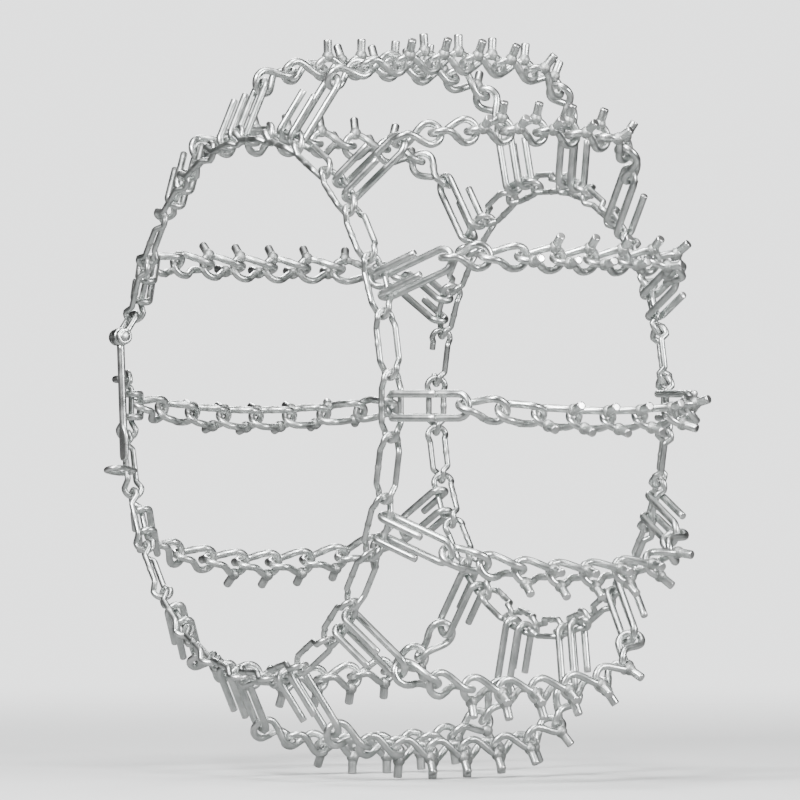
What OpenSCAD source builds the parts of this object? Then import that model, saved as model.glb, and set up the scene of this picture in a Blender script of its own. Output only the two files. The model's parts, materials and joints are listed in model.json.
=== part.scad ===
// Studded ladder tyre chain for a small tractor or snow blower, lying as fitted on a 16x7.50-8 tyre.
// The wheel axis is Y, the outer side with the closing lever faces -Y, and the origin is the tyre's centre.

/* [Side chains] */
// Links in one side chain
side_links = 28; // [28]
// Wire diameter of a side link
side_wire = 3.5; // [3:0.1:3.8]
// Distance between the two strands of a side link, centre to centre
side_link_w = 10.5; // [10:0.1:11]
// Turn of each end bow of a side link about the link's length
side_twist = 45; // [35:1:50]
// Mean radius of the outer side chain
outer_ring_r = 154; // [150:0.5:158]
// Distance of the outer side chain from the tyre's middle plane
outer_ring_y = 98; // [96:0.5:100]
// Slope of the outer side links, from the wheel axis towards the tread
outer_slope = 34.8; // [30:1:40]
// Mean radius of the inner side chain
inner_ring_r = 128.5; // [127:0.5:129]
// Distance of the inner side chain from the tyre's middle plane
inner_ring_y = 94.2; // [92:0.5:96]
// Slope of the inner side links, from the wheel axis towards the tread
inner_slope = 114.8; // [110:1:120]

/* [Cross chains] */
// Cross chains around the tyre
cross_count = 14; // [14]
// Wire diameter of the cross links and their hooks
cross_wire = 4.2; // [4:0.1:4.4]
// Distance between the two strands of a cross link, centre to centre
cross_link_w = 13.2; // [12.8:0.1:13.6]
// Length of chain taken by one cross link
cross_pitch = 21.8; // [21.6:0.1:22]
// Turn of each end bow of a cross link about the link's length
cross_twist = 45; // [42:1:48]
// Links in one cross chain
cross_links = 8; // [8]
// First link that carries studs, counted from 0 at the outer hook
first_studded = 2; // [2:1:3]
// Last link that carries studs
last_studded = 6; // [5:1:6]
// How far the middle of a cross chain hangs down on a standing wheel
sag = 8; // [0:1:10]

/* [Studs] */
// Diameter of a stud
stud_d = 5; // [4.5:0.1:5.2]
// Height of a stud above the middle of its wire
stud_h = 10.5; // [9:0.5:11.5]
// Lean of a stud away from the middle of its link
stud_lean = 15; // [10:1:18]
// Diameter of the weld bead at a stud's foot
bead_d = 6.2; // [6:0.1:6.4]

/* [Cross hooks] */
// Distance between the two legs of a hook, centre to centre
hook_w = 13.3; // [13.2:0.1:14]
// Length of the straight tails that lie over the legs
tail_len = 25; // [20:1:27]

/* [Tyre section under the chain] */
// Radius of the chain's middle line at the crown of the tread
crown_r = 199.5; // [198:0.5:202]
// Radius of curvature across the tread
crown_curve = 330; // [300:10:400]
// Half width of the flat part of the tread
crown_half = 55; // [54:0.5:56]
// Radius of curvature of the shoulder
shoulder_curve = 40; // [38:1:42]
// Radius of curvature of the sidewall
wall_curve = 70; // [66:1:74]

/* [Closing lever] */
// Diameter of the lever's rod
lever_d = 4.6; // [4:0.1:5]
// Length of the lever from its pin to its tip
lever_len = 72; // [66:1:73]
// Diameter of the lever's pin
pin_d = 4; // [3.5:0.1:4.4]
// Wire diameter of the keeper ring
keeper_wire = 3.2; // [3:0.1:3.4]

/* [Hidden] */
$fn = 32;
side_r = side_wire / 2;
cross_r = cross_wire / 2;
// Running gap between two wires that hang in each other
gap = 0.3;
// A ball at a bend is this much bigger than its wire, which closes the bend
ball = 1.12;

// Arc lengths along the tyre section, from the crown outwards
shoulder_deg = 70;
crown_deg = asin(crown_half / crown_curve);
crown_arc = crown_curve * crown_deg * PI / 180;
shoulder_arc = shoulder_curve * (shoulder_deg - crown_deg) * PI / 180;
shoulder_c = [crown_half - shoulder_curve * sin(crown_deg),
    crown_r - crown_curve + (crown_curve - shoulder_curve) * cos(crown_deg)];
wall_c = shoulder_c + (shoulder_curve - wall_curve) * [sin(shoulder_deg), cos(shoulder_deg)];

// A point [y, r] on the tyre section at arc length s from the crown, for s of 0 or more
function half_section(s) =
    s <= crown_arc ?
        let (a = s / crown_curve * 180 / PI)
        [crown_curve * sin(a), crown_r - crown_curve * (1 - cos(a))]
    : s <= crown_arc + shoulder_arc ?
        let (a = crown_deg + (s - crown_arc) / shoulder_curve * 180 / PI)
        shoulder_c + shoulder_curve * [sin(a), cos(a)]
    :   let (a = shoulder_deg + (s - crown_arc - shoulder_arc) / wall_curve * 180 / PI)
        wall_c + wall_curve * [sin(a), cos(a)];
function section(s) = let (p = half_section(abs(s))) [sign(s) * p[0], p[1]];

// Joints of a cross chain, as [y, r] points: joint 0 is at the outer hook
joint_start = -74.2;
joints = [for (k = [0 : cross_links]) section(joint_start + k * cross_pitch)];
row_step = 360 / cross_count;
side_step = 360 / side_links;

// Distance of the side links' own middles from the wheel axis
outer_link_r = outer_ring_r * cos(side_step / 2);
inner_link_r = inner_ring_r * cos(side_step / 2);

// Middles of the strands that the hooks hold, as [y, r] points
outer_strand = [-outer_ring_y, outer_link_r] + side_link_w / 2 * [cos(outer_slope), sin(outer_slope)];
inner_strand = [inner_ring_y, inner_link_r] + side_link_w / 2 * [cos(inner_slope), sin(inner_slope)];

// Half lengths of the links along their wires' middle line
cross_half = cross_pitch / 2 + (cross_wire + gap) / 2 + 0.3;
function side_half(ring_r) = ring_r * sin(side_step / 2) + (side_wire + gap) / 2;

// The link that the closing hardware takes the place of, and where the inner closing hook's mouth begins
closing_link = 13;
mouth_from = -3;
// Roll of the first and last cross link, which lets them hang in the flat hooks, and how far under
// the cross chain's joint each hook's tip passes
outer_roll = 22;
inner_roll = 14;
outer_drop = 1.6;
inner_drop = 1.2;
// Half length of the straight middle of a side link
outer_flat = 9.5;
inner_flat = 8.3;
// The inner side links are shorter, so their bows are turned less
inner_twist = 40;

// A round rod from point p to point q
module rod(p, q, r) {
    v = q - p;
    len = norm(v);
    translate(p)
        rotate([0, acos(v[2] / len), atan2(v[1], v[0])])
            cylinder(h = len, r = r);
}

// Half a ring of wire in the XY plane, bulging towards +X
module bow(ring_r, wire_r) {
    rotate([0, 0, -90])
        rotate_extrude(angle = 180)
            translate([ring_r, 0])
                circle(wire_r);
}

// A point of a link at x, with its strand turned by a degrees about X
function turned(x, side, ring_r, a) = [x, side * ring_r * cos(a), side * ring_r * sin(a)];

// A chain link along X. Its end bows are turned by -twist and +twist, and its strands run flat for flat_half each way.
// An open link has its +Y strand cut short, which leaves a mouth. A studded link has a weld bead at two corners
module link(half, width, wire_r, twist, flat_half, open = false, studded = false) {
    ring_r = width / 2;
    s = half - ring_r;
    for (end = [-1, 1])
        rotate([end * twist, 0, 0])
            translate([end * s, 0, 0])
                rotate([0, 0, end > 0 ? 0 : 180])
                    bow(ring_r, wire_r);
    for (side = [-1, 1]) {
        low = turned(-s, side, ring_r, -twist);
        high = turned(s, side, ring_r, twist);
        flat_low = turned(-flat_half, side, ring_r, 0);
        flat_high = turned(flat_half, side, ring_r, 0);
        pts = flat_half == 0 ? [low, high]
            : open && side > 0 ? [low, flat_low, turned(mouth_from, side, ring_r, 0)]
            : [low, flat_low, flat_high, high];
        for (i = [0 : len(pts) - 2])
            rod(pts[i], pts[i + 1], wire_r);
        for (p = concat(pts, [high]))
            if (!(studded && p[2] > 0))
                translate(p)
                    sphere(r = wire_r * ball);
    }
}

// A stud welded to a corner of a cross link. end is -1 at the link's outer end and 1 at its inner end
module stud(end) {
    ring_r = cross_link_w / 2;
    translate(turned(end * (cross_half - ring_r), end, ring_r, end * cross_twist))
        rotate([-end * stud_lean, 0, 0]) {
            sphere(d = bead_d);
            cylinder(h = stud_h, d = stud_d);
        }
}

// Places a piece at angle a around the wheel, with X radial, Y along the wheel axis and Z forward around it
module around(a) {
    rotate([0, -a, 0])
        children();
}

// The sideways place of joint k of a cross chain at angle a, as the chain hangs
function hang(a, k) = -sag * cos(a) * sin(180 * k / cross_links);

// The links of the cross chain at angle a
module cross_link_run(a) {
    around(a)
        for (k = [0 : cross_links - 1]) {
            p = joints[k];
            q = joints[k + 1];
            mid = (p + q) / 2;
            bearing = atan2(q[0] - p[0], q[1] - p[1]);
            t0 = hang(a, k);
            t1 = hang(a, k + 1);
            has_studs = k >= first_studded && k <= last_studded;
            roll = k == 0 ? -outer_roll : k == cross_links - 1 ? inner_roll : 0;
            translate([mid[1], mid[0], (t0 + t1) / 2])
                rotate([90, 0, bearing])
                    rotate([0, 0, atan((t1 - t0) / norm(q - p))])
                        rotate([roll, 0, 0]) {
                            link(cross_half, cross_link_w, cross_r, cross_twist, 0, studded = has_studs);
                            if (has_studs) {
                                stud(-1);
                                stud(1);
                            }
                        }
        }
}

// A double hook that holds a side strand at s and the cross chain's joint at j, both [y, r] with y below 0
module double_hook(s, j) {
    bend = side_r + cross_r + 0.75;
    reach = sqrt(pow(norm(j - s), 2) - bend * bend) + (cross_wire + gap) / 2 + 1.4;
    bearing = atan2(j[0] - s[0], j[1] - s[1]) - asin(bend / norm(j - s));
    half_w = hook_w / 2;
    translate([s[1], s[0], 0])
        rotate([90, 0, bearing]) {
            for (side = [-half_w, half_w]) {
                rod([0, side, -bend], [reach - half_w, side, -bend], cross_r);
                rod([0, side, bend], [tail_len, side, bend], cross_r);
                translate([0, side, 0])
                    rotate([90, 0, 180])
                        bow(bend, cross_r);
            }
            translate([reach - half_w, 0, -bend])
                bow(half_w, cross_r);
        }
}

// The point at distance drop from joint k towards the wheel axis, square to link n
function under(k, n, drop) =
    let (v = joints[n + 1] - joints[n])
    joints[k] + drop * [v[1], -v[0]] / norm(v);

module outer_hook(a) {
    color("lightgray")
        around(a)
            double_hook(outer_strand, under(0, 0, outer_drop));
}

module inner_hook(a) {
    j = under(cross_links, cross_links - 1, inner_drop);
    color("lightgray")
        around(a)
            mirror([0, 1, 0])
                double_hook([-inner_strand[0], inner_strand[1]], [-j[0], j[1]]);
}

module cross_chain_links(a) {
    color("gainsboro")
        cross_link_run(a);
}

// The outer side link at angle a
module outer_side_link(a) {
    around(a)
        translate([outer_link_r, -outer_ring_y, 0])
            rotate([0, -90, -outer_slope])
                link(side_half(outer_ring_r), side_link_w, side_r, side_twist, outer_flat);
}

// The inner side link at angle a
module inner_side_link(a, open = false) {
    around(a)
        translate([inner_link_r, inner_ring_y, 0])
            rotate([0, -90, -inner_slope])
                link(side_half(inner_ring_r), side_link_w, side_r, inner_twist, inner_flat, open);
}

// Outer side links first to last, leaving out the one whose place the closing lever takes
module outer_arc(first, last) {
    color("gainsboro")
        for (n = [first : last])
            if (n != closing_link)
                outer_side_link(n * side_step);
}

// Inner side links first to last, leaving out the one whose place the closing hook takes
module inner_arc(first, last) {
    color("gainsboro")
        for (n = [first : last])
            if (n != closing_link)
                inner_side_link(n * side_step);
}

module inner_closing_hook() {
    color("silver")
        inner_side_link(closing_link * side_step, open = true);
}

// The lever's frame: its origin is the joint after the link before the lever, Z runs towards the lever's tip
lever_bearing = 184;
lever_joint = (closing_link - 0.5) * side_step;
shackle_lean = 36;
shackle_w = 9.2;
shackle_pin = 15;
pin_y = -shackle_pin * sin(shackle_lean);
pin_z = shackle_pin * cos(shackle_lean);
ear_t = 3;
ear_d = 9.5;
pin_clear = 0.05;

// The frame's small shift from the joint gives the shackle's bow room in the link
lever_shift = [0.3, 0, -0.9];
module lever_frame() {
    around(lever_joint)
        translate([outer_ring_r, -outer_ring_y, 0])
            rotate([0, lever_joint - lever_bearing, 0])
                translate(lever_shift)
                    children();
}

// A round disc of thickness t on the lever's pin axis, with its middle at x
module on_pin(x, d, t) {
    translate([x - t / 2, 0, 0])
        rotate([0, 90, 0])
            cylinder(h = t, d = d);
}

// The shackle that hangs in the last side link and carries the pin
module lever_shackle() {
    half_w = shackle_w / 2;
    back = -(side_wire + gap) / 2;
    color("silver")
        lever_frame()
            difference() {
                union() {
                    rotate([shackle_lean, 0, 0]) {
                        translate([0, 0, back + half_w])
                            rotate([90, 90, 0])
                                bow(half_w, side_r);
                        for (side = [-half_w, half_w])
                            rod([side, 0, back + half_w], [side, 0, shackle_pin - 1], side_r);
                    }
                    for (side = [-half_w, half_w])
                        translate([0, pin_y, pin_z])
                            on_pin(side, ear_d, ear_t);
                }
                translate([0, pin_y, pin_z])
                    on_pin(0, pin_d + 2 * pin_clear, shackle_w + 2 * ear_t);
            }
}

// The riveted pin, with a head outside each ear
module lever_pin() {
    head_t = 1.2;
    grip = shackle_w + ear_t;
    color("gray")
        lever_frame()
            translate([0, pin_y, pin_z]) {
                on_pin(0, pin_d, grip + 2 * head_t);
                for (side = [-1, 1])
                    on_pin(side * (grip + head_t) / 2 + side * pin_clear, pin_d + 2.6, head_t - 2 * pin_clear);
            }
}

// The lever: an eye on the pin, a rod with a flat tip, and a finger that holds the first link of the other end
finger_x = 10.1;
finger_z = 36.1;
finger_reach = 11.6;
tip_len = 16;

module tension_lever() {
    eye_t = shackle_w - ear_t - 0.6;
    rod_r = lever_d / 2;
    color("silver")
        lever_frame()
            translate([0, pin_y, pin_z])
                difference() {
                    union() {
                        on_pin(0, ear_d + 1, eye_t);
                        rod([0, 0, 3], [0, 0, lever_len - tip_len + 2], rod_r);
                        translate([-4, -1.6, lever_len - tip_len])
                            cube([8, 3.2, tip_len - 4]);
                        translate([0, -1.6, lever_len - 4])
                            rotate([-90, 0, 0])
                                cylinder(h = 3.2, r = 4);
                        rod([0, 0, finger_z - pin_z], [finger_x, 0, finger_z - pin_z], cross_r);
                        translate([finger_x, 0, finger_z - pin_z])
                            sphere(r = cross_r * ball);
                        rod([finger_x, 0, finger_z - pin_z], [finger_x, finger_reach, finger_z - pin_z], cross_r);
                    }
                    on_pin(0, pin_d + 2 * pin_clear, eye_t + 1);
                }
}

// The ring that is pushed over the lever's tip. It hangs on the side link beside the tip
keeper_link = closing_link + 2;
keeper_half = 11;
keeper_w = 9.6;
keeper_z = 5;
keeper_lean = 240;

module keeper_ring() {
    keeper_r = keeper_wire / 2;
    strand_r = outer_link_r - side_link_w / 2 * sin(outer_slope);
    strand_y = -outer_ring_y - side_link_w / 2 * cos(outer_slope);
    color("silver")
        around(keeper_link * side_step)
            translate([strand_r, strand_y, keeper_z])
                rotate([0, 0, keeper_lean])
                    translate([keeper_half - side_r - keeper_r - 0.4, 0, 0])
                        link(keeper_half, keeper_w, keeper_r, 0, 0);
}

outer_arc(0, 3);  // outer_side_chain_1
outer_arc(4, 7);  // outer_side_chain_2
outer_arc(8, 11);  // outer_side_chain_3
outer_arc(12, 15);  // outer_side_chain_4
outer_arc(16, 19);  // outer_side_chain_5
outer_arc(20, 23);  // outer_side_chain_6
outer_arc(24, 27);  // outer_side_chain_7
inner_arc(0, 4);  // inner_side_chain_1
inner_arc(5, 9);  // inner_side_chain_2
inner_arc(10, 14);  // inner_side_chain_3
inner_arc(15, 19);  // inner_side_chain_4
inner_arc(20, 23);  // inner_side_chain_5
inner_arc(24, 27);  // inner_side_chain_6
outer_hook(0 * row_step);  // outer_hook_01
outer_hook(1 * row_step);  // outer_hook_02
outer_hook(2 * row_step);  // outer_hook_03
outer_hook(3 * row_step);  // outer_hook_04
outer_hook(4 * row_step);  // outer_hook_05
outer_hook(5 * row_step);  // outer_hook_06
outer_hook(6 * row_step);  // outer_hook_07
outer_hook(7 * row_step);  // outer_hook_08
outer_hook(8 * row_step);  // outer_hook_09
outer_hook(9 * row_step);  // outer_hook_10
outer_hook(10 * row_step);  // outer_hook_11
outer_hook(11 * row_step);  // outer_hook_12
outer_hook(12 * row_step);  // outer_hook_13
outer_hook(13 * row_step);  // outer_hook_14
cross_chain_links(0 * row_step);  // cross_links_01
cross_chain_links(1 * row_step);  // cross_links_02
cross_chain_links(2 * row_step);  // cross_links_03
cross_chain_links(3 * row_step);  // cross_links_04
cross_chain_links(4 * row_step);  // cross_links_05
cross_chain_links(5 * row_step);  // cross_links_06
cross_chain_links(6 * row_step);  // cross_links_07
cross_chain_links(7 * row_step);  // cross_links_08
cross_chain_links(8 * row_step);  // cross_links_09
cross_chain_links(9 * row_step);  // cross_links_10
cross_chain_links(10 * row_step);  // cross_links_11
cross_chain_links(11 * row_step);  // cross_links_12
cross_chain_links(12 * row_step);  // cross_links_13
cross_chain_links(13 * row_step);  // cross_links_14
inner_hook(0 * row_step);  // inner_hook_01
inner_hook(1 * row_step);  // inner_hook_02
inner_hook(2 * row_step);  // inner_hook_03
inner_hook(3 * row_step);  // inner_hook_04
inner_hook(4 * row_step);  // inner_hook_05
inner_hook(5 * row_step);  // inner_hook_06
inner_hook(6 * row_step);  // inner_hook_07
inner_hook(7 * row_step);  // inner_hook_08
inner_hook(8 * row_step);  // inner_hook_09
inner_hook(9 * row_step);  // inner_hook_10
inner_hook(10 * row_step);  // inner_hook_11
inner_hook(11 * row_step);  // inner_hook_12
inner_hook(12 * row_step);  // inner_hook_13
inner_hook(13 * row_step);  // inner_hook_14
lever_shackle();
lever_pin();
tension_lever();
keeper_ring();
inner_closing_hook();
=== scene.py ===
import json
import math

import bpy
import numpy as np
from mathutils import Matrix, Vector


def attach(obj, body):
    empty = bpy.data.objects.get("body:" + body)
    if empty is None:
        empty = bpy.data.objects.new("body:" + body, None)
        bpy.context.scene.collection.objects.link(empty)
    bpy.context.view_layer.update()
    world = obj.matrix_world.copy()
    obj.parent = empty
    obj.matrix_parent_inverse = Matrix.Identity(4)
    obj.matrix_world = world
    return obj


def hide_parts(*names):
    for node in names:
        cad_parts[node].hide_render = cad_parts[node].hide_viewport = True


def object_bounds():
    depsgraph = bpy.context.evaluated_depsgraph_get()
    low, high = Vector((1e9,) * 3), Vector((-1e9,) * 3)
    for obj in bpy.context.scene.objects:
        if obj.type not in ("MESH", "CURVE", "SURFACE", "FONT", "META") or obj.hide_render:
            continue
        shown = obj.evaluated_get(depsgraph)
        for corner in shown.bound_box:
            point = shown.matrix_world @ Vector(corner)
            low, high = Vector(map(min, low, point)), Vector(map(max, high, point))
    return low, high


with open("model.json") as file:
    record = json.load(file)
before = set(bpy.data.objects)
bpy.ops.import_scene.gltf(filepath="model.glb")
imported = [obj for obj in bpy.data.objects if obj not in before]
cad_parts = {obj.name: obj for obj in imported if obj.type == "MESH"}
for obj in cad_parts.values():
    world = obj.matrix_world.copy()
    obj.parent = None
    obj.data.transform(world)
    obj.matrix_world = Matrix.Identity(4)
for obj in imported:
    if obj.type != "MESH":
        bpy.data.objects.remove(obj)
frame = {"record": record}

MM = 0.001
cad_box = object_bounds()
scene = bpy.context.scene

# ---- Camera: 5 m off with a long lens, 60 degrees round to the right.
# It stands and aims a few mm left of the origin and above it
CAMERA_AZIMUTH = math.radians(60)
CAMERA_AWAY, AIM_LEFT, AIM_UP = 5.0, 0.0035, 0.0032
SENSOR_WIDTH, LENS, CLIP_END = 36, 395.3, 50
to_camera = np.array([math.sin(CAMERA_AZIMUTH), -math.cos(CAMERA_AZIMUTH), 0.0])
right = np.array([math.cos(CAMERA_AZIMUTH), math.sin(CAMERA_AZIMUTH), 0.0])
cam_data = bpy.data.cameras.new("camera")
cam_data.sensor_width = SENSOR_WIDTH
cam_data.lens = LENS
cam_data.clip_end = CLIP_END
camera = bpy.data.objects.new("camera", cam_data)
scene.collection.objects.link(camera)
camera.location = to_camera * CAMERA_AWAY - right * AIM_LEFT + np.array([0, 0, AIM_UP])
camera.rotation_euler = (math.pi / 2, 0, CAMERA_AZIMUTH)
scene.camera = camera

# ---- Sizes, in mm and degrees, as in the CAD unless a line says otherwise
# Wire radii, distances between a link's strands, and the length of chain one cross link takes
SIDE_R, CROSS_R = 1.75, 2.1
SIDE_W, CROSS_W, PITCH = 10.5, 13.2, 21.8
# Each side chain: its radius, its distance from the tyre's middle plane, the slope and twist of its links,
# and half the length of the straight part of a strand
OUTER_R, OUTER_Y, OUTER_SLOPE, OUTER_TWIST, OUTER_FLAT = 154.0, 98.0, 34.8, 45, 9.5
INNER_R, INNER_Y, INNER_SLOPE, INNER_TWIST, INNER_FLAT = 128.5, 94.2, 114.8, 40, 8.3
# The gap between two wires, and how far the middle of a cross chain hangs down
GAP, SAG = 0.3, 8.0
SIDE_LINKS, ROWS, CROSS_LINKS = 28, 14, 8
SIDE_STEP, ROW_STEP = 360 / SIDE_LINKS, 360 / ROWS
# The side link that the closing hardware takes the place of
CLOSING = 13
# Half the length of a cross link, measured to the middle of its wire
CROSS_HALF = PITCH / 2 + (2 * CROSS_R + GAP) / 2 + 0.3
CROSS_TWIST, OUTER_ROLL, INNER_ROLL = 45, -22, 14
FIRST_STUDDED, LAST_STUDDED = 2, 6
STUD_D, STUD_H, STUD_LEAN = 5.0, 10.5, 15.0
# The hooks: width, length of the tails, room in a bend round the strand, extra length past the joint, and
# how far under its joint each closed end lies
HOOK_W, TAIL, HOOK_ROOM, HOOK_EXTRA, OUTER_DROP, INNER_DROP = 13.3, 25.0, 0.75, 1.4, 1.6, 1.2
# The tyre's section under the chain: half width, radius and curve of the crown, curve of the shoulder and
# of the wall, and the angle where the wall begins
CROWN_HALF, CROWN_R, CROWN_CURVE, SHOULDER_CURVE, WALL_CURVE, SHOULDER_DEG = 55, 199.5, 330, 40, 70, 70
# Arc length from the crown to the first joint of a cross chain, on the outer side
FIRST_JOINT = -74.2


def rad(a):
    return math.radians(a)


def link_r(ring):
    return ring * math.cos(rad(SIDE_STEP / 2))


def side_half(ring):
    return ring * math.sin(rad(SIDE_STEP / 2)) + (2 * SIDE_R + GAP) / 2


def section(s):
    """A point (y, r) on the tyre's section at arc length s from the crown."""
    a0, turn = math.asin(CROWN_HALF / CROWN_CURVE), rad(SHOULDER_DEG)
    arc0, arc1 = CROWN_CURVE * a0, SHOULDER_CURVE * (turn - a0)
    c1 = np.array([CROWN_HALF - SHOULDER_CURVE * math.sin(a0),
                   CROWN_R - CROWN_CURVE + (CROWN_CURVE - SHOULDER_CURVE) * math.cos(a0)])
    c2 = c1 + (SHOULDER_CURVE - WALL_CURVE) * np.array([math.sin(turn), math.cos(turn)])
    t = abs(s)
    if t <= arc0:
        p = np.array([CROWN_CURVE * math.sin(t / CROWN_CURVE),
                      CROWN_R - CROWN_CURVE * (1 - math.cos(t / CROWN_CURVE))])
    elif t <= arc0 + arc1:
        a = a0 + (t - arc0) / SHOULDER_CURVE
        p = c1 + SHOULDER_CURVE * np.array([math.sin(a), math.cos(a)])
    else:
        a = turn + (t - arc0 - arc1) / WALL_CURVE
        p = c2 + WALL_CURVE * np.array([math.sin(a), math.cos(a)])
    return np.array([math.copysign(1, s) * p[0], p[1]])


JOINTS = [section(FIRST_JOINT + k * PITCH) for k in range(CROSS_LINKS + 1)]


# ---- Placing: a local point becomes (radial, axial, tangential) and then a place round the wheel
def rx(a):
    c, s = math.cos(rad(a)), math.sin(rad(a))
    return np.array([[1, 0, 0], [0, c, -s], [0, s, c]])


def ry(a):
    c, s = math.cos(rad(a)), math.sin(rad(a))
    return np.array([[c, 0, s], [0, 1, 0], [-s, 0, c]])


def rz(a):
    c, s = math.cos(rad(a)), math.sin(rad(a))
    return np.array([[c, -s, 0], [s, c, 0], [0, 0, 1]])


class Place:
    """A rotation and a shift, put together from the outside in."""

    def __init__(self, m=None, t=None):
        self.m = np.eye(3) if m is None else m
        self.t = np.zeros(3) if t is None else t

    def shift(self, x, y, z):
        return Place(self.m, self.t + self.m @ np.array([x, y, z], float))

    def turn(self, m):
        return Place(self.m @ m, self.t)

    def __call__(self, pts):
        return np.asarray(pts, float) @ self.m.T + self.t


def around(a):
    return Place(ry(-a))


# ---- Meshes: each piece collects vertices, faces and two marks, wear and weld
BODY = {n: b for b, nodes in frame["record"]["behaviour"]["bodies"].items() for n in nodes}


class Piece:
    def __init__(self):
        self.v, self.f, self.wear, self.weld, self.n = [], [], [], [], 0

    def add(self, v, f, wear=0.0, weld=0.0):
        v = np.asarray(v, float)
        self.v.append(v)
        self.f += [tuple(i + self.n for i in face) for face in f]
        self.wear.append(np.broadcast_to(wear, len(v)).astype(float))
        self.weld.append(np.broadcast_to(weld, len(v)).astype(float))
        self.n += len(v)

    def object(self, name, material):
        mesh = bpy.data.meshes.new(name)
        mesh.from_pydata((np.concatenate(self.v) * MM).tolist(), [], self.f)
        for mark, values in (("wear", self.wear), ("weld", self.weld)):
            mesh.attributes.new(mark, "FLOAT", "POINT").data.foreach_set("value", np.concatenate(values))
        mesh.polygons.foreach_set("use_smooth", [True] * len(mesh.polygons))
        mesh.materials.append(material)
        mesh.validate()
        mesh.update()
        obj = bpy.data.objects.new(name, mesh)
        scene.collection.objects.link(obj)
        node = name.replace("_steel", "")
        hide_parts(node)
        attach(obj, BODY[node])


def skin(n, sides, closed=False):
    """Faces over n rings of points. Unless the rings close on themselves, both ends are capped."""
    faces = []
    for i in range(n if closed else n - 1):
        k = (i + 1) % n
        for j in range(sides):
            m = (j + 1) % sides
            faces.append((i * sides + j, i * sides + m, k * sides + m, k * sides + j))
    if not closed:
        faces.append(tuple(range(sides))[::-1])
        faces.append(tuple((n - 1) * sides + j for j in range(sides)))
    return faces


def frames(path, closed):
    """Tangents and two normals along a path, carried without twist."""
    n = len(path)
    if closed:
        tangent = np.roll(path, -1, 0) - np.roll(path, 1, 0)
    else:
        tangent = np.gradient(path, axis=0)
    tangent /= np.linalg.norm(tangent, axis=1)[:, None]
    ref = np.eye(3)[np.argmin(np.abs(tangent[0]))]
    u = np.cross(tangent[0], ref)
    u /= np.linalg.norm(u)
    us = [u]
    for i in range(1, n):
        u = us[-1] - tangent[i] * (us[-1] @ tangent[i])
        us.append(u / np.linalg.norm(u))
    us = np.array(us)
    if closed:
        end = us[-1] - tangent[0] * (us[-1] @ tangent[0])
        end /= np.linalg.norm(end)
        off = math.atan2(np.cross(us[0], end) @ tangent[0], us[0] @ end)
        turn = -off * np.arange(n) / n
        v = np.cross(tangent, us)
        us = us * np.cos(turn)[:, None] + v * np.sin(turn)[:, None]
    return tangent, us, np.cross(tangent, us)


def tube(piece, path, radius, place, closed=False, sides=14, wear=0.0, weld=0.0, cut=0.35):
    """A wire along path. An open wire gets blunt ends with a small chamfer of size cut."""
    path = place(path)
    n = len(path)
    radius = np.broadcast_to(radius, n).astype(float)
    wear, weld = (np.broadcast_to(x, n).astype(float) for x in (wear, weld))
    tangent, u, v = frames(path, closed)
    if not closed:
        path = np.concatenate([path[:1], path[:1] + tangent[:1] * cut, path[1:-1],
                               path[-1:] - tangent[-1:] * cut, path[-1:]])
        pick = np.r_[0, 0, 1:n - 1, n - 1, n - 1]
        radius, wear, weld, u, v = (x[pick] for x in (radius, wear, weld, u, v))
        radius[0] -= cut
        radius[-1] -= cut
        n += 2
    a = np.arange(sides) * 2 * math.pi / sides
    ring = u[:, None, :] * np.cos(a)[None, :, None] + v[:, None, :] * np.sin(a)[None, :, None]
    pts = (path[:, None, :] + ring * radius[:, None, None]).reshape(-1, 3)
    piece.add(pts, skin(n, sides, closed), np.repeat(wear, sides), np.repeat(weld, sides))


def lathe(piece, profile, place, sides=24, wear=0.0, weld=0.0, wobble=0.0, closed=False):
    """A turned shape. Profile is (radius, height) pairs along local Z, from one pole or rim to the other."""
    profile = np.array(profile, float)
    a = np.arange(sides) * 2 * math.pi / sides
    n = len(profile)
    rough = 1 + wobble * (np.sin(3 * a + 1) + 0.6 * np.sin(5 * a))
    pts = np.stack([profile[:, 0, None] * rough * np.cos(a), profile[:, 0, None] * rough * np.sin(a),
                    np.repeat(profile[:, 1, None], sides, 1)], 2).reshape(-1, 3)
    wear, weld = (np.repeat(np.broadcast_to(x, n).astype(float), sides) for x in (wear, weld))
    piece.add(place(pts), skin(n, sides, closed), wear, weld)


# ---- Links. The butt welds are not in the CAD: height as a share of the wire's radius, length in mm,
# and how far in mm a weld wanders along its strand
SIDE_WELD, CROSS_WELD, KEEPER_WELD = (0.16, 1.1), (0.12, 1.4), (0.15, 1.1)
SIDE_WANDER, CROSS_WANDER = 0.6, 0.5
# Wear begins at this share of a link's half length, and grows at this rate to the tip
WEAR_FROM, WEAR_GAIN = 0.86, 7
# Strands without a flat bulge by this share in the middle. A cross link's weld lies at this share of its
# half width, and its studs stand this many mm further out than in the CAD
STRAND_BULGE, CROSS_WELD_OUT, STUD_OUT = 0.1, 0.72, 0.6


def bow_points(s, ring, twist, end, n=14):
    a = np.linspace(-90, 90, n + 1) * math.pi / 180
    p = np.stack([s + ring * np.cos(a), ring * np.sin(a), 0 * a], 1)
    if end < 0:
        p = p * [-1, -1, 1]
    return p @ rx(end * twist).T


def strand_points(s, ring, twist, side, flat, n):
    """From the bow at -X to the bow at +X. Straight up to flat from the middle, or curved if flat is 0."""
    x = np.linspace(-s, s, n + 1)
    if flat:
        t = np.clip((np.abs(x) - flat) / (s - flat), 0, 1)
        c, h = math.cos(rad(twist)), math.sin(rad(twist))
        return np.stack([x, side * ring * (1 - t + t * c), side * ring * np.sign(x) * t * h], 1)
    t = x / s
    k = 1.5 * t - 0.5 * t ** 3
    c, h = ring * math.cos(rad(twist)), ring * math.sin(rad(twist))
    return np.stack([x, side * c * (1 + STRAND_BULGE * (1 - t * t)), side * h * k], 1)


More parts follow.
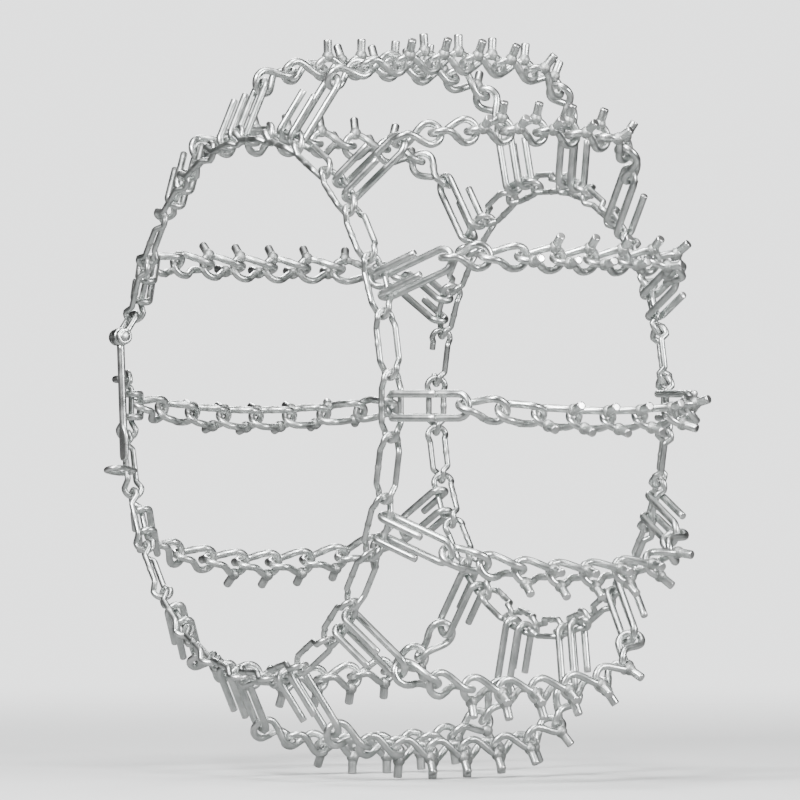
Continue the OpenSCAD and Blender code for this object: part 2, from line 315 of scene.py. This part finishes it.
def link_path(half, width, twist, flat, n_strand):
    """A closed link's path, and the wear along it, which is on the bows."""
    ring = width / 2
    s = half - ring
    plus = bow_points(s, ring, twist, 1)
    minus = bow_points(s, ring, twist, -1)
    top = strand_points(s, ring, twist, 1, flat, n_strand)[::-1]
    low = strand_points(s, ring, twist, -1, flat, n_strand)
    path = np.concatenate([plus[:-1], top[:-1], minus[:-1], low[:-1]])
    tip = np.abs(path[:, 0]) / half
    return path, np.clip((tip - WEAR_FROM) * WEAR_GAIN, 0, 1)


def weld_bump(path, at, r, height, length):
    """The wire's radius along path with a butt weld near the point at."""
    d = np.linalg.norm(path - np.array(at), axis=1)
    w = np.exp(-(d / length) ** 2)
    return r * (1 + height * w), w


def side_link(piece, a, inner, seed):
    ring = INNER_R if inner else OUTER_R
    y = INNER_Y if inner else -OUTER_Y
    slope = INNER_SLOPE if inner else OUTER_SLOPE
    twist = INNER_TWIST if inner else OUTER_TWIST
    place = around(a).shift(link_r(ring), y, 0).turn(rz(-slope) @ ry(-90))
    path, wear = link_path(side_half(ring), SIDE_W, twist, INNER_FLAT if inner else OUTER_FLAT, 28)
    at = [SIDE_WANDER * math.sin(seed * 2.3), -SIDE_W / 2, 0]
    radius, weld = weld_bump(path, at, SIDE_R, *SIDE_WELD)
    tube(piece, path, radius, place, closed=True, wear=wear, weld=weld)


def stud(piece, place, end, seed):
    """A stud at the raised corner of a cross link, with a lumpy weld collar round its foot."""
    ring = CROSS_W / 2
    s = CROSS_HALF - ring
    corner = place.turn(rx(end * CROSS_TWIST)).shift(end * (s + STUD_OUT), end * ring, 0)
    foot = corner.turn(rx(-end * (CROSS_TWIST + STUD_LEAN)))
    bead = [(0.6, -2.4), (2.3, -2.1), (3.1, -0.9), (3.5, 0.5), (3.5, 1.5), (3.25, 2.3), (2.8, 3.0),
            (2.62, 3.5)]
    lathe(piece, bead, foot, weld=[0.4, 0.7, 1, 1, 1, 1, 0.9, 0.6], wobble=0.02)
    r = STUD_D / 2
    top = STUD_H + 0.15 * math.sin(seed * 1.7)
    shank = [(r, 1.8), (r, 3.4), (r, 5.4), (r, top - 1.2), (r - 0.02, top - 0.5), (r - 0.3, top),
             (r - 0.9, top + 0.02)]
    lathe(piece, shank, foot, wear=[0, 0, 0.1, 0.3, 0.7, 1, 1], weld=[1, 0.7, 0.1, 0, 0, 0, 0])


def hang(a, k):
    """How far its weight shifts joint k of the cross chain at angle a round the wheel."""
    return -SAG * math.cos(rad(a)) * math.sin(math.pi * k / CROSS_LINKS)


def cross_links(a, piece, row):
    for k in range(CROSS_LINKS):
        p, q = JOINTS[k], JOINTS[k + 1]
        mid = (p + q) / 2
        t0, t1 = hang(a, k), hang(a, k + 1)
        bearing = math.degrees(math.atan2(q[0] - p[0], q[1] - p[1]))
        yaw = math.degrees(math.atan((t1 - t0) / np.linalg.norm(q - p)))
        roll = OUTER_ROLL if k == 0 else INNER_ROLL if k == CROSS_LINKS - 1 else 0
        middle = around(a).shift(mid[1], mid[0], (t0 + t1) / 2)
        place = middle.turn(rz(bearing) @ rx(90)).turn(rz(yaw) @ rx(roll))
        path, wear = link_path(CROSS_HALF, CROSS_W, CROSS_TWIST, 0, 14)
        seed = row * CROSS_LINKS + k
        at = [CROSS_WANDER * math.sin(seed), -CROSS_W / 2 * CROSS_WELD_OUT, 0]
        radius, weld = weld_bump(path, at, CROSS_R, *CROSS_WELD)
        tube(piece, path, radius, place, closed=True, wear=wear, weld=weld)
        if FIRST_STUDDED <= k <= LAST_STUDDED:
            stud(piece, place, -1, seed)
            stud(piece, place, 1, seed + 0.5)


# ---- Hooks
def under(k, n, drop):
    """The point at distance drop from joint k towards the wheel axis, square to link n."""
    v = JOINTS[n + 1] - JOINTS[n]
    return JOINTS[k] + drop * np.array([v[1], -v[0]]) / np.linalg.norm(v)


def arc(c, r, a0, a1, n, plane):
    a = np.linspace(a0, a1, n + 1) * math.pi / 180
    x, y, o = r * np.cos(a), r * np.sin(a), 0 * a
    p = {"xy": (x, y, o), "xz": (x, o, y)}[plane]
    return np.stack(p, 1) + np.array(c, float)


def strand_middle(y, ring, slope):
    """The (y, r) place of the side link's strand that a hook holds."""
    return np.array([y, link_r(ring)]) + SIDE_W / 2 * np.array([math.cos(rad(slope)), math.sin(rad(slope))])


def hook(piece, a, inner, seed):
    """A double hook: two legs that bend round the side link's strand and end in tails."""
    if inner:
        strand = strand_middle(INNER_Y, INNER_R, INNER_SLOPE)
        j = under(CROSS_LINKS, CROSS_LINKS - 1, INNER_DROP)
        strand, j = strand * [-1, 1], j * [-1, 1]
    else:
        strand = strand_middle(-OUTER_Y, OUTER_R, OUTER_SLOPE)
        j = under(0, 0, OUTER_DROP)
    bend = SIDE_R + CROSS_R + HOOK_ROOM
    far = np.linalg.norm(j - strand)
    reach = math.sqrt(far ** 2 - bend ** 2) + (2 * CROSS_R + GAP) / 2 + HOOK_EXTRA
    bearing = math.degrees(math.atan2(j[0] - strand[0], j[1] - strand[1]) - math.asin(bend / far))
    h = HOOK_W / 2
    legs = np.linspace(0, 1, 8)[:, None]

    def line(p, q):
        return np.array(p) * (1 - legs) + np.array(q) * legs

    # Small differences from hook to hook: how far the tails lift, and where each is cut
    lift = 0.25 + 0.2 * math.sin(seed)
    tail0, tail1 = TAIL - 0.4 + 0.4 * math.sin(seed * 3), TAIL - 0.4 + 0.4 * math.cos(seed * 2)
    path = np.concatenate([
        line([tail0, -h, bend + lift], [0, -h, bend])[:-1],
        arc([0, -h, 0], bend, 90, 270, 12, "xz")[:-1],
        line([0, -h, -bend], [reach - h, -h, -bend])[:-1],
        arc([reach - h, 0, -bend], h, -90, 90, 16, "xy")[:-1],
        line([reach - h, h, -bend], [0, h, -bend])[:-1],
        arc([0, h, 0], bend, 270, 90, 12, "xz")[:-1],
        line([0, h, bend], [tail1, h, bend + lift])])
    m = rz(bearing) @ rx(90)
    if inner:
        m = np.diag([1, -1, 1]) @ m
        place = Place(ry(-a) @ m, ry(-a) @ np.array([strand[1], -strand[0], 0]))
        path = path[::-1]
    else:
        place = around(a).shift(strand[1], strand[0], 0).turn(m)
    ends = np.zeros(len(path))
    ends[[0, -1]] = 1
    tube(piece, path, CROSS_R, place, wear=ends, sides=16, cut=0.3)


# ---- Materials: zinc-plated steel wire, with wear and weld marks
# Noise scales per metre: the patches of colour and gloss, and the fine grain
PATCH_SCALE, GRAIN_SCALE = 140, 1500
POLISHED, POLISH_SHARE = (0.9, 0.905, 0.9), 0.75
SCORCHED, SCORCH_DULL = (0.24, 0.245, 0.24), 0.22
BUMP_STRENGTH, BUMP_DISTANCE, WELD_LUMPS = 0.25, 0.00012, 2.5


def zinc(name, dark, light, rough):
    mat = bpy.data.materials.new(name)
    mat.use_nodes = True
    nt = mat.node_tree
    bsdf = nt.nodes["Principled BSDF"]
    bsdf.inputs["Metallic"].default_value = 1.0

    def node(kind, **values):
        n = nt.nodes.new(kind)
        for k, v in values.items():
            setattr(n, k, v)
        return n

    coord = node("ShaderNodeTexCoord")
    patch = node("ShaderNodeTexNoise")
    patch.inputs["Scale"].default_value = PATCH_SCALE
    patch.inputs["Detail"].default_value = 4
    grain = node("ShaderNodeTexNoise")
    grain.inputs["Scale"].default_value = GRAIN_SCALE
    grain.inputs["Detail"].default_value = 3
    for n in (patch, grain):
        nt.links.new(coord.outputs["Object"], n.inputs["Vector"])

    # Colour: patches, then polish where the wire is worn, then scorching at a weld
    ramp = node("ShaderNodeValToRGB")
    ramp.color_ramp.elements[0].position = 0.36
    ramp.color_ramp.elements[0].color = (*dark, 1)
    ramp.color_ramp.elements[1].position = 0.62
    ramp.color_ramp.elements[1].color = (*light, 1)
    nt.links.new(patch.outputs["Fac"], ramp.inputs["Fac"])
    wear = node("ShaderNodeAttribute", attribute_name="wear")
    weld = node("ShaderNodeAttribute", attribute_name="weld")
    polish = node("ShaderNodeMix", data_type="RGBA")
    polish.inputs["B"].default_value = (*POLISHED, 1)
    worn = node("ShaderNodeMath", operation="MULTIPLY")
    worn.inputs[1].default_value = POLISH_SHARE
    nt.links.new(wear.outputs["Fac"], worn.inputs[0])
    nt.links.new(worn.outputs[0], polish.inputs["Factor"])
    nt.links.new(ramp.outputs["Color"], polish.inputs["A"])
    scorch = node("ShaderNodeMix", data_type="RGBA")
    scorch.inputs["B"].default_value = (*SCORCHED, 1)
    burn = node("ShaderNodeMath", operation="MULTIPLY")
    nt.links.new(weld.outputs["Fac"], burn.inputs[0])
    nt.links.new(grain.outputs["Fac"], burn.inputs[1])
    nt.links.new(burn.outputs[0], scorch.inputs["Factor"])
    nt.links.new(polish.outputs["Result"], scorch.inputs["A"])
    nt.links.new(scorch.outputs["Result"], bsdf.inputs["Base Color"])

    # Roughness: patches between the two values of rough, duller at a weld
    spread = node("ShaderNodeMapRange")
    spread.inputs["From Min"].default_value = 0.3
    spread.inputs["From Max"].default_value = 0.7
    spread.inputs["To Min"].default_value = rough[0]
    spread.inputs["To Max"].default_value = rough[1]
    nt.links.new(patch.outputs["Fac"], spread.inputs["Value"])
    dull = node("ShaderNodeMath", operation="MULTIPLY_ADD")
    dull.inputs[1].default_value = SCORCH_DULL
    nt.links.new(weld.outputs["Fac"], dull.inputs[0])
    nt.links.new(spread.outputs["Result"], dull.inputs[2])
    nt.links.new(dull.outputs[0], bsdf.inputs["Roughness"])

    # Bump: grain, with lumps on a weld
    bump = node("ShaderNodeBump")
    bump.inputs["Strength"].default_value = BUMP_STRENGTH
    bump.inputs["Distance"].default_value = BUMP_DISTANCE
    height = node("ShaderNodeMath", operation="MULTIPLY_ADD")
    lumps = node("ShaderNodeMath", operation="MULTIPLY")
    nt.links.new(weld.outputs["Fac"], lumps.inputs[0])
    nt.links.new(patch.outputs["Fac"], lumps.inputs[1])
    nt.links.new(lumps.outputs[0], height.inputs[0])
    height.inputs[1].default_value = WELD_LUMPS
    nt.links.new(grain.outputs["Fac"], height.inputs[2])
    nt.links.new(height.outputs[0], bump.inputs["Height"])
    nt.links.new(bump.outputs["Normal"], bsdf.inputs["Normal"])
    return mat


side_mat = zinc("zinc_side_chain", (0.58, 0.61, 0.60), (0.76, 0.78, 0.77), (0.30, 0.42))
cross_mat = zinc("zinc_cross_chain", (0.62, 0.65, 0.64), (0.82, 0.84, 0.83), (0.28, 0.40))
hook_mat = zinc("zinc_hook", (0.60, 0.63, 0.62), (0.79, 0.81, 0.80), (0.30, 0.43))
lever_mat = zinc("zinc_closing_hardware", (0.60, 0.62, 0.61), (0.80, 0.82, 0.81), (0.25, 0.37))
rivet_mat = zinc("plain_steel_rivet", (0.36, 0.37, 0.37), (0.52, 0.53, 0.53), (0.26, 0.40))

# ---- The side chains, in groups of links from first to last, and the cross chains with their hooks
OUTER_GROUPS = [(4 * g, 4 * g + 3) for g in range(7)]
INNER_GROUPS = [(0, 4), (5, 9), (10, 14), (15, 19), (20, 23), (24, 27)]
for inner, groups in ((False, OUTER_GROUPS), (True, INNER_GROUPS)):
    for g, (first, last) in enumerate(groups):
        piece = Piece()
        for n in range(first, last + 1):
            if n != CLOSING:
                side_link(piece, n * SIDE_STEP, inner, n)
        name = f"{'inner' if inner else 'outer'}_side_chain_{g + 1}"
        piece.object(name + "_steel", side_mat)

for i in range(ROWS):
    piece = Piece()
    cross_links(i * ROW_STEP, piece, i)
    piece.object(f"cross_links_{i + 1:02d}_steel", cross_mat)
    for inner in (False, True):
        piece = Piece()
        hook(piece, i * ROW_STEP, inner, i + 20 * inner)
        piece.object(f"{'inner' if inner else 'outer'}_hook_{i + 1:02d}_steel", hook_mat)

# ---- The closing hardware. The lever's frame lies where the last side link ends, along the lever's bearing
LEVER_BEARING, LEVER_SHIFT = 184, (0.3, 0, -0.9)
LEAN, SHACKLE_W, PIN_AT, EAR_T, EAR_D, PIN_D = 36, 9.2, 15.0, 3.0, 9.5, 4.0
joint_a = (CLOSING - 0.5) * SIDE_STEP
joint_place = around(joint_a).shift(OUTER_R, -OUTER_Y, 0)
lever_place = joint_place.turn(ry(joint_a - LEVER_BEARING)).shift(*LEVER_SHIFT)
PIN_Y, PIN_Z = -PIN_AT * math.sin(rad(LEAN)), PIN_AT * math.cos(rad(LEAN))
pin_place = lever_place.shift(0, PIN_Y, PIN_Z)
on_x = ry(90)


def washer(piece, place, x, outer, bore, t, round_off=0.6):
    """A ring of thickness t on the X axis with its middle at x."""
    h, r = t / 2, round_off
    upper = [(outer, h - r), (outer - 0.3 * r, h - 0.3 * r), (outer - r, h), (bore + 0.2, h), (bore, h - 0.2)]
    prof = [(radius, -z) for radius, z in upper[::-1]] + upper
    lathe(piece, prof, place.shift(x, 0, 0).turn(on_x), sides=32, closed=True)


# The shackle: a U through the last side link, and an ear on each leg
piece = Piece()
half_w, back, leg_end = SHACKLE_W / 2, -(2 * SIDE_R + GAP) / 2, PIN_AT - 3.2
u_place = lever_place.turn(rx(LEAN))
u = np.concatenate([
    [[-half_w, 0, z] for z in np.linspace(leg_end, back + half_w, 8)[:-1]],
    arc([0, 0, back + half_w], half_w, 180, 360, 16, "xz")[:-1],
    [[half_w, 0, z] for z in np.linspace(back + half_w, leg_end, 8)]])
tube(piece, u, SIDE_R, u_place, cut=0.1)
BORE_R = PIN_D / 2 + 0.05
for side in (-half_w, half_w):
    washer(piece, pin_place, side, EAR_D / 2, BORE_R, EAR_T)
piece.object("lever_shackle_steel", lever_mat)

# The pin: a rivet with a domed head outside each ear
piece = Piece()
grip = SHACKLE_W + EAR_T
end = grip / 2 + 1.15
head = [(0.6, end), (1.8, end - 0.12), (2.7, end - 0.45), (3.2, end - 0.95), (3.25, grip / 2 + 0.06),
        (PIN_D / 2, grip / 2 + 0.05)]
rivet = [(r, -z) for r, z in head] + [(PIN_D / 2, 0)] + head[::-1]
head_wear = [0.6, 0.5, 0.3, 0, 0, 0]
lathe(piece, rivet, pin_place.turn(on_x), sides=28, wear=head_wear + [0] + head_wear[::-1])
piece.object("lever_pin_steel", rivet_mat)

# The lever: an eye, a rod that widens over 8 mm into a flat part and then rounds off, and a finger
ROD_R, FLAT_HALF_W, FLAT_HALF_T, FLAT_FROM, FLAT_OVER, TIP_FROM = 2.3, 4, 1.6, 50, 8, 68
EYE_D, EYE_T = EAR_D + 1, SHACKLE_W - EAR_T - 0.6
piece = Piece()
washer(piece, pin_place, 0, EYE_D / 2, BORE_R, EYE_T, 0.9)
# Stations along the rod, in mm from the pin, closer together where the shape changes
z = np.concatenate([np.linspace(3.6, 50, 16), np.linspace(51, 58, 8), np.linspace(59, 68, 6),
                    np.linspace(68.6, 71.95, 9)])
swell = np.clip((z - FLAT_FROM) / FLAT_OVER, 0, 1)
swell = swell * swell * (3 - 2 * swell)
tip = np.sqrt(np.clip(1 - (np.clip(z - TIP_FROM, 0, None) / 4) ** 2, 0.01, 1))
wide = (ROD_R + (FLAT_HALF_W - ROD_R) * swell) * tip
thick = (ROD_R + (FLAT_HALF_T - ROD_R) * swell) * np.clip(tip * 1.6, 0, 1)
sides = 20
a = np.arange(sides) * 2 * math.pi / sides
square = 1 - 0.35 * swell[:, None]
cx = np.sign(np.cos(a)) * np.abs(np.cos(a))[None, :] ** square
cy = np.sign(np.sin(a)) * np.abs(np.sin(a))[None, :] ** square
pts = np.stack([wide[:, None] * cx, thick[:, None] * cy, np.repeat(z[:, None], sides, 1)], 2).reshape(-1, 3)
piece.add(pin_place(pts), skin(len(z), sides), np.repeat(np.clip((z - 60) / 12, 0, 0.8), sides))
FINGER_X, FINGER_Z, FINGER_REACH, FINGER_BEND = 10.1, 36.1 - PIN_Z, 11.6, 3
finger = np.concatenate([
    [[x, 0, FINGER_Z] for x in np.linspace(0.5, FINGER_X - FINGER_BEND, 6)[:-1]],
    arc([FINGER_X - FINGER_BEND, FINGER_BEND, FINGER_Z], FINGER_BEND, -90, 0, 8, "xy")[:-1],
    [[FINGER_X, y, FINGER_Z] for y in np.linspace(FINGER_BEND, FINGER_REACH, 7)]])
# The finger swells and is scorched where it is welded to the rod
near = np.clip(1 - finger[:, 0] / 4.5, 0, 1)
tube(piece, finger, CROSS_R + 0.5 * near * near, pin_place, sides=16, cut=0.6, weld=near)
piece.object("tension_lever_steel", lever_mat)

# The keeper ring, hung on a strand of the outer side chain
KEEPER_LINK, KEEPER_R, KEEPER_HALF, KEEPER_W, KEEPER_Z, KEEPER_LEAN = CLOSING + 2, 1.6, 11.0, 9.6, 5, 240
piece = Piece()
strand_r = link_r(OUTER_R) - SIDE_W / 2 * math.sin(rad(OUTER_SLOPE))
strand_y = -OUTER_Y - SIDE_W / 2 * math.cos(rad(OUTER_SLOPE))
hung = around(KEEPER_LINK * SIDE_STEP).shift(strand_r, strand_y, KEEPER_Z)
ring_place = hung.turn(rz(KEEPER_LEAN)).shift(KEEPER_HALF - SIDE_R - KEEPER_R - 0.4, 0, 0)
path, wear = link_path(KEEPER_HALF, KEEPER_W, 0, 0, 10)
radius, weld = weld_bump(path, [0, -KEEPER_W / 2, 0], KEEPER_R, *KEEPER_WELD)
tube(piece, path, radius, ring_place, closed=True, wear=wear, weld=weld)
piece.object("keeper_ring_steel", lever_mat)

# The inner closing hook: a side link whose +Y strand stops at the last point up to MOUTH_FROM, which leaves
# a mouth
MOUTH_FROM = -2.9
piece = Piece()
hook_place = around(CLOSING * SIDE_STEP).shift(link_r(INNER_R), INNER_Y, 0).turn(rz(-INNER_SLOPE) @ ry(-90))
half, ring = side_half(INNER_R), SIDE_W / 2
s = half - ring
top = strand_points(s, ring, INNER_TWIST, 1, INNER_FLAT, 40)
top = top[top[:, 0] <= MOUTH_FROM]
low = strand_points(s, ring, INNER_TWIST, -1, INNER_FLAT, 28)
path = np.concatenate([top[::-1][:-1], bow_points(s, ring, INNER_TWIST, -1)[:-1], low[:-1],
                       bow_points(s, ring, INNER_TWIST, 1)])
tube(piece, path, SIDE_R, hook_place, cut=0.4)
piece.object("inner_closing_hook_steel", lever_mat)

# ---- Floor: it fades out with distance, and is mostly clear to glossy rays, so the steel keeps its contrast
ground = cad_box[0][2]
mesh = bpy.data.meshes.new("floor")
FLOOR_R, FLOOR_SIDES, FADE_FROM, FADE_TO, GLOSSY_DIM = 4.0, 96, 0.30, 1.7, 0.7
turns = [2 * math.pi * k / FLOOR_SIDES for k in range(FLOOR_SIDES)]
rim = [(FLOOR_R * math.cos(t), FLOOR_R * math.sin(t), ground) for t in turns]
mesh.from_pydata(rim, [], [tuple(range(FLOOR_SIDES))])
floor = bpy.data.objects.new("floor", mesh)
scene.collection.objects.link(floor)
floor_mat = bpy.data.materials.new("pale_floor")
floor_mat.use_nodes = True
ft = floor_mat.node_tree
paint = ft.nodes["Principled BSDF"]
paint.inputs["Base Color"].default_value = (0.80, 0.81, 0.81, 1)
paint.inputs["Roughness"].default_value = 0.75
clear = ft.nodes.new("ShaderNodeBsdfTransparent")
fade = ft.nodes.new("ShaderNodeMixShader")
where = ft.nodes.new("ShaderNodeTexCoord")
away = ft.nodes.new("ShaderNodeVectorMath")
away.operation = "LENGTH"
edge = ft.nodes.new("ShaderNodeMapRange")
edge.interpolation_type = "SMOOTHSTEP"
edge.inputs["From Min"].default_value = FADE_FROM
edge.inputs["From Max"].default_value = FADE_TO
ft.links.new(where.outputs["Object"], away.inputs[0])
ft.links.new(away.outputs["Value"], edge.inputs["Value"])
glossy = ft.nodes.new("ShaderNodeLightPath")
dim = ft.nodes.new("ShaderNodeMath")
dim.operation = "MULTIPLY_ADD"
dim.use_clamp = True
dim.inputs[1].default_value = GLOSSY_DIM
ft.links.new(glossy.outputs["Is Glossy Ray"], dim.inputs[0])
ft.links.new(edge.outputs["Result"], dim.inputs[2])
ft.links.new(dim.outputs[0], fade.inputs["Fac"])
ft.links.new(paint.outputs["BSDF"], fade.inputs[1])
ft.links.new(clear.outputs["BSDF"], fade.inputs[2])
ft.links.new(fade.outputs["Shader"], ft.nodes["Material Output"].inputs["Surface"])
mesh.materials.append(floor_mat)

# ---- World: the steel mirrors a dark surrounding with a grey horizon and a brighter zenith.
# The camera sees a bright backdrop instead. The band is (height from nadir to zenith, brightness) pairs
BAND = [(0.0, 0.02), (0.40, 0.03), (0.47, 0.16), (0.53, 0.22), (0.58, 0.03), (0.84, 0.02), (1.0, 0.5)]
BACKDROP, BACKDROP_STRENGTH = (0.98, 0.99, 0.99), 2.4
world = bpy.data.worlds.new("studio")
scene.world = world
world.use_nodes = True
wt = world.node_tree
sky = wt.nodes["Background"]
coord = wt.nodes.new("ShaderNodeTexCoord")
split = wt.nodes.new("ShaderNodeSeparateXYZ")
band = wt.nodes.new("ShaderNodeValToRGB")
wt.links.new(coord.outputs["Generated"], split.inputs["Vector"])
lift = wt.nodes.new("ShaderNodeMapRange")
lift.inputs["From Min"].default_value = -1
lift.inputs["From Max"].default_value = 1
wt.links.new(split.outputs["Z"], lift.inputs["Value"])
wt.links.new(lift.outputs["Result"], band.inputs["Fac"])
stops = band.color_ramp.elements
stops[0].position, stops[1].position = BAND[0][0], BAND[-1][0]
stops[0].color = (BAND[0][1],) * 3 + (1,)
stops[1].color = (BAND[-1][1],) * 3 + (1,)
for position, value in BAND[1:-1]:
    stops.new(position).color = (value, value, value, 1)
wt.links.new(band.outputs["Color"], sky.inputs["Color"])
backdrop = wt.nodes.new("ShaderNodeBackground")
backdrop.inputs["Color"].default_value = (*BACKDROP, 1)
backdrop.inputs["Strength"].default_value = BACKDROP_STRENGTH
seen = wt.nodes.new("ShaderNodeLightPath")
choose = wt.nodes.new("ShaderNodeMixShader")
wt.links.new(seen.outputs["Is Camera Ray"], choose.inputs["Fac"])
wt.links.new(sky.outputs["Background"], choose.inputs[1])
wt.links.new(backdrop.outputs["Background"], choose.inputs[2])
wt.links.new(choose.outputs["Shader"], wt.nodes["World Output"].inputs["Surface"])


# ---- Light: round area lights that face the origin
def area(name, azimuth_deg, elevation_deg, distance, size, power):
    data = bpy.data.lights.new(name, "AREA")
    data.shape = "DISK"
    data.size = size
    data.energy = power
    obj = bpy.data.objects.new(name, data)
    scene.collection.objects.link(obj)
    az, el = rad(azimuth_deg), rad(elevation_deg)
    d = np.array([math.sin(az) * math.cos(el), -math.cos(az) * math.cos(el), math.sin(el)])
    obj.location = d * distance
    obj.rotation_euler = (math.pi / 2 - el, 0, az)


area("key", 30, 36, 1.6, 0.5, 46)
area("fill", 112, 20, 1.8, 0.5, 30)
area("top", 60, 76, 1.5, 0.6, 22)
area("back", 245, 30, 1.8, 0.4, 12)
